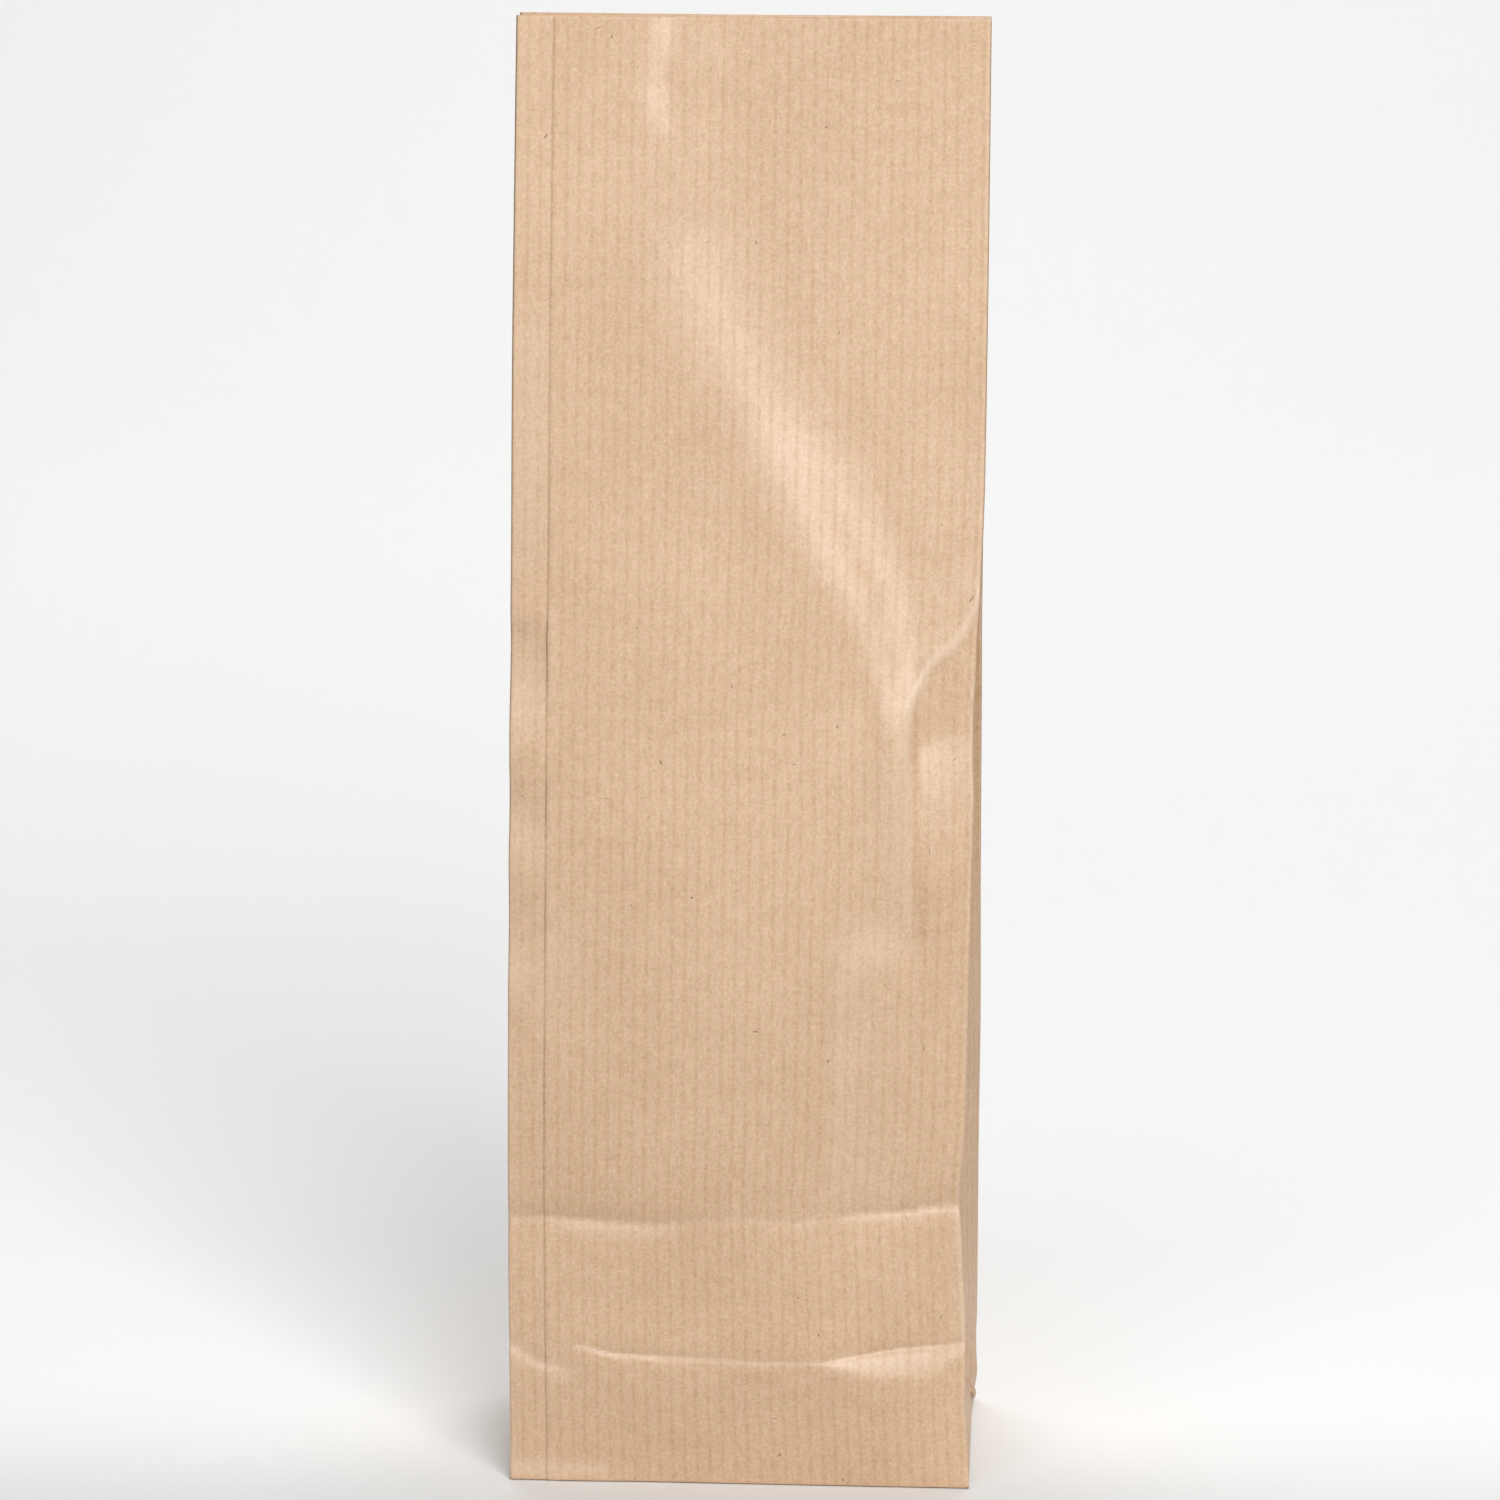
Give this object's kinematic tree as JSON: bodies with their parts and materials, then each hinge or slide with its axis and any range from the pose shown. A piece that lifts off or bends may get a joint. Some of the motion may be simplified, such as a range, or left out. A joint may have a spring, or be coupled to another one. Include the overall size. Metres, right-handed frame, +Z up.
{
  "type": "block-bottom paper bag",
  "caption": "Tall narrow brown ribbed kraft paper bag with side gussets, a flat folded bottom and a nearly closed open mouth, standing upright.",
  "frame": {"origin": "middle of the bottom, on the surface that the bag stands on", "axes": "+Z up towards the open mouth, +X along the wide panels to the right, -Y out of the panel that carries the lengthwise glue seam"},
  "size_m": [0.0811, 0.0533, 0.252],
  "materials": {
    "kraft_paper": "satin"
  },
  "bodies": {
    "root": {"paper_bag": "kraft_paper"}
  },
  "joints": []
}
